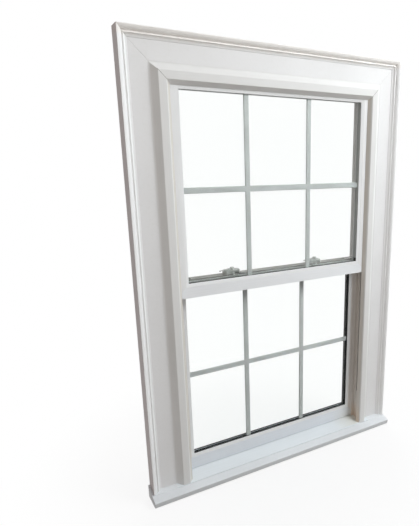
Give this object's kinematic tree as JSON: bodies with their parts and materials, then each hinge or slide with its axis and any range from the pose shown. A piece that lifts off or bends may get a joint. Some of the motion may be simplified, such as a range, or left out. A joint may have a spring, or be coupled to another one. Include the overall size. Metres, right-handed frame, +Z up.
{
  "type": "double-hung sash window",
  "caption": "White vinyl double-hung sash window with frame, moulded outside casing, sloped sill nose, grilles inside the glass and cam locks; both sashes slide.",
  "frame": {"origin": "centre of the frame's underside, in the wall plane (the plane of the casing's back face)", "axes": "+X to the right as seen from outside, +Y into the room, +Z up"},
  "size_m": [1.028, 0.1256, 1.4723],
  "materials": {
    "frame_vinyl": "satin extruded vinyl",
    "casing_pvc": "satin cellular vinyl, painted white",
    "sash_vinyl": "satin extruded vinyl",
    "glass": "clear float glass",
    "spacer": "black",
    "grille": "white enamel",
    "pile": "grey pile",
    "seal": "matte",
    "steel": "zinc plated",
    "nylon": "moulded nylon",
    "lock_enamel": "white enamel on die-cast zinc"
  },
  "bodies": {
    "frame": {"balance_coil_lower_left": "steel", "balance_coil_lower_right": "steel", "balance_coil_upper_left": "steel", "balance_coil_upper_right": "steel", "balance_strip_lower_left": "steel", "balance_strip_lower_right": "steel", "balance_strip_upper_left": "steel", "balance_strip_upper_right": "steel", "casing_head": "casing_pvc", "casing_left": "casing_pvc", "casing_right": "casing_pvc", "frame_head": "frame_vinyl", "frame_jamb_left": "frame_vinyl", "frame_jamb_right": "frame_vinyl", "frame_sill": "frame_vinyl", "sill_nose": "casing_pvc", "slot_cover_left": "frame_vinyl", "slot_cover_right": "frame_vinyl"},
    "upper_sash": {"keeper_left": "lock_enamel", "keeper_right": "lock_enamel", "keeper_screws": "steel", "upper_glazing_bead": "sash_vinyl", "upper_grille": "grille", "upper_inner_pane": "glass", "upper_meeting_rail": "sash_vinyl", "upper_outer_pane": "glass", "upper_pile": "pile", "upper_pivot_bar_left": "steel", "upper_pivot_bar_right": "steel", "upper_shoe_left": "nylon", "upper_shoe_right": "nylon", "upper_spacer": "spacer", "upper_stile_left": "sash_vinyl", "upper_stile_right": "sash_vinyl", "upper_top_rail": "sash_vinyl"},
    "lower_sash": {"lock_base_left": "lock_enamel", "lock_base_right": "lock_enamel", "lock_screws": "steel", "lower_bottom_rail": "sash_vinyl", "lower_bottom_seal": "seal", "lower_glazing_bead": "sash_vinyl", "lower_grille": "grille", "lower_inner_pane": "glass", "lower_meeting_rail": "sash_vinyl", "lower_outer_pane": "glass", "lower_pile": "pile", "lower_pivot_bar_left": "steel", "lower_pivot_bar_right": "steel", "lower_shoe_left": "nylon", "lower_shoe_right": "nylon", "lower_spacer": "spacer", "lower_stile_left": "sash_vinyl", "lower_stile_right": "sash_vinyl"},
    "lock_lever_left": {"lock_lever_left": "lock_enamel"},
    "lock_lever_right": {"lock_lever_right": "lock_enamel"},
    "lower_latch_left": {"lower_latch_left": "sash_vinyl"},
    "lower_latch_right": {"lower_latch_right": "sash_vinyl"},
    "upper_latch_left": {"upper_latch_left": "sash_vinyl"},
    "upper_latch_right": {"upper_latch_right": "sash_vinyl"}
  },
  "joints": [
    {"name": "upper_sash_slide", "type": "slide", "parent": "frame", "child": "upper_sash", "axis": [0, 0, -1], "range_m": [0, 0.52], "deforming": ["balance_strip_upper_left", "balance_strip_upper_right"]},
    {"name": "lower_sash_slide", "type": "slide", "parent": "frame", "child": "lower_sash", "axis": [0, 0, 1], "range_m": [0, 0.56], "deforming": ["balance_strip_lower_left", "balance_strip_lower_right"]},
    {"name": "lock_lever_left_turn", "type": "hinge", "parent": "lower_sash", "child": "lock_lever_left", "pos_m": [-0.1705, 0.011, 0.745], "axis": [0, 0, -1], "range_deg": [0, 180]},
    {"name": "lock_lever_right_turn", "type": "hinge", "parent": "lower_sash", "child": "lock_lever_right", "pos_m": [0.1705, 0.011, 0.745], "axis": [0, 0, -1], "range_deg": [0, 180]},
    {"name": "upper_latch_left_slide", "type": "slide", "parent": "upper_sash", "child": "upper_latch_left", "axis": [1, 0, 0], "range_m": [0, 0.008], "stiffness_N_per_m": 400, "springref_m": -0.004},
    {"name": "upper_latch_right_slide", "type": "slide", "parent": "upper_sash", "child": "upper_latch_right", "axis": [-1, 0, 0], "range_m": [0, 0.008], "stiffness_N_per_m": 400, "springref_m": -0.004},
    {"name": "lower_latch_left_slide", "type": "slide", "parent": "lower_sash", "child": "lower_latch_left", "axis": [1, 0, 0], "range_m": [0, 0.008], "stiffness_N_per_m": 400, "springref_m": -0.004},
    {"name": "lower_latch_right_slide", "type": "slide", "parent": "lower_sash", "child": "lower_latch_right", "axis": [-1, 0, 0], "range_m": [0, 0.008], "stiffness_N_per_m": 400, "springref_m": -0.004}
  ]
}
